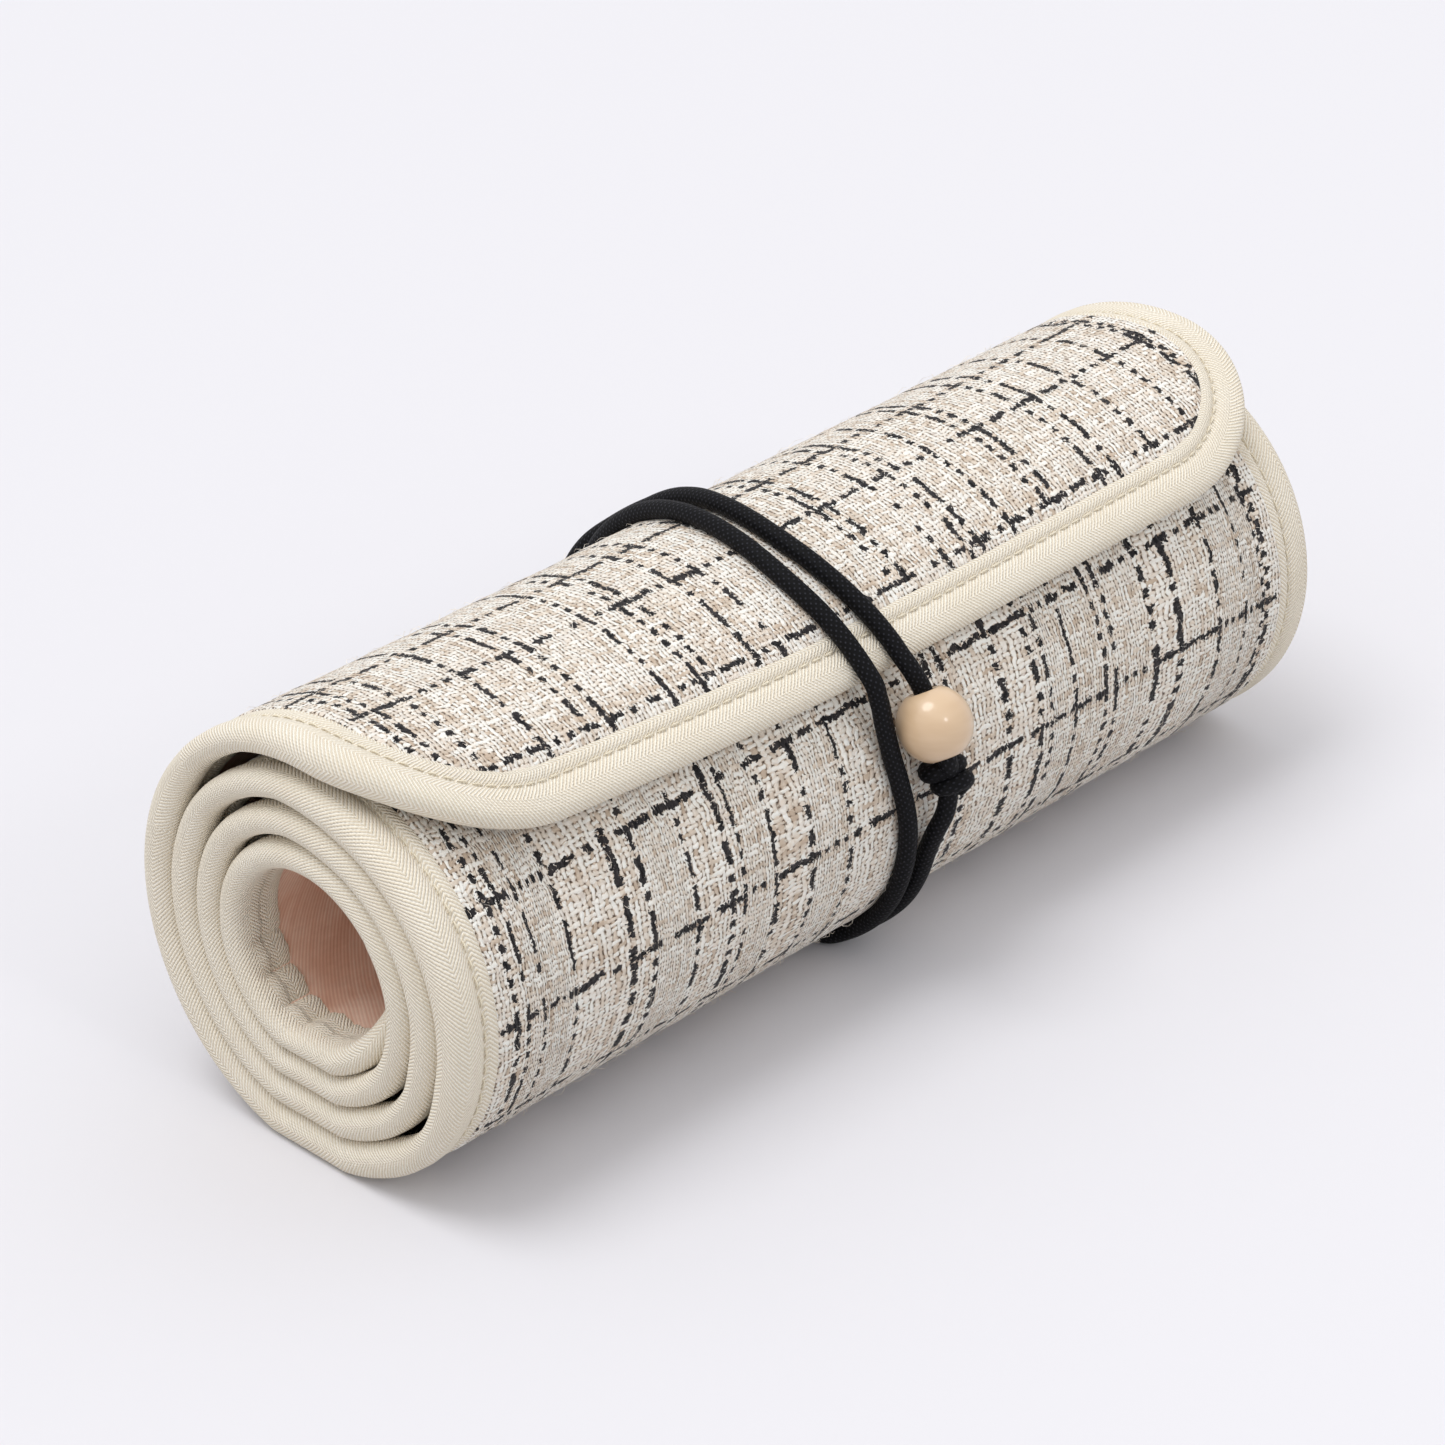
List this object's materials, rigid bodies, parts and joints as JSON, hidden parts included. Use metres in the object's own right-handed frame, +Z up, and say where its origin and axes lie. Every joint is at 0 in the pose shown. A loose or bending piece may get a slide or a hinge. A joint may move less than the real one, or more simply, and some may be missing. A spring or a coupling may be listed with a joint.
{
  "type": "travel jewelry organizer",
  "caption": "Rolled-up travel jewelry organizer: a padded tweed panel with a taped edge, zip pockets and a ring strap inside, held by a doubled elastic cord with a knot and a wooden bead.",
  "frame": {"origin": "middle of the base of the rolled-up organizer's bounding box, on the surface it lies on", "axes": "+X along the roll, -Y towards the front with the knot and bead, +Z up"},
  "size_m": [0.195, 0.0844, 0.073],
  "materials": {
    "tweed": "slubby ivory tweed with pink and black threads",
    "wadding": "soft white wadding",
    "lining": "blush satin",
    "twill_tape": "cream herringbone twill tape",
    "suede": "blush brushed suede cloth",
    "elastic": "black braided elastic",
    "bead_wood": "pale lacquered wood",
    "gilt": "polished light gold plate"
  },
  "bodies": {
    "roll": {"rolled_outer_panel": "tweed", "rolled_wadding": "wadding", "rolled_lining": "lining", "rolled_edge_tape": "twill_tape", "outer_pocket_panel": "lining", "outer_pocket_zip_tape_near_hem": "lining", "outer_pocket_zip_tape_near_pocket": "lining", "earring_panel": "suede", "inner_pocket_panel": "lining", "inner_pocket_zip_tape_near_hem": "lining", "inner_pocket_zip_tape_near_pocket": "lining", "ring_strap": "lining", "ring_strap_snap_stud": "gilt", "ring_strap_snap_cap": "gilt", "slip_pocket_panel": "lining", "slip_pocket_hem": "twill_tape"},
    "flap": {"flap_outer_panel": "tweed", "flap_wadding": "wadding", "flap_lining": "lining", "flap_edge_tape": "twill_tape"},
    "tie": {"tie_cord": "elastic", "tie_knot": "elastic"},
    "bead": {"tie_bead": "bead_wood"},
    "outer_zip_runner": {"outer_pocket_zip_slider": "gilt", "outer_pocket_zip_pull": "gilt"},
    "inner_zip_runner": {"inner_pocket_zip_slider": "gilt", "inner_pocket_zip_pull": "gilt"}
  },
  "joints": [
    {"name": "flap_open", "type": "hinge", "parent": "roll", "child": "flap", "pos_m": [0, 0.02982, 0.05358], "axis": [-1, 0, 0], "range_deg": [0, 150]},
    {"name": "tie_pull_off", "type": "slide", "parent": "roll", "child": "tie", "axis": [1, 0, 0], "range_m": [0, 0.13], "deforming": ["tie_cord"]},
    {"name": "bead_slide", "type": "slide", "parent": "tie", "child": "bead", "axis": [-0.1829, 0.2841, 0.9412], "range_m": [0, 0.003]},
    {"name": "outer_zip_run", "type": "slide", "parent": "roll", "child": "outer_zip_runner", "axis": [-1, 0, 0], "range_m": [0, 0.157]},
    {"name": "inner_zip_run", "type": "slide", "parent": "roll", "child": "inner_zip_runner", "axis": [-1, 0, 0], "range_m": [0, 0.157]}
  ]
}
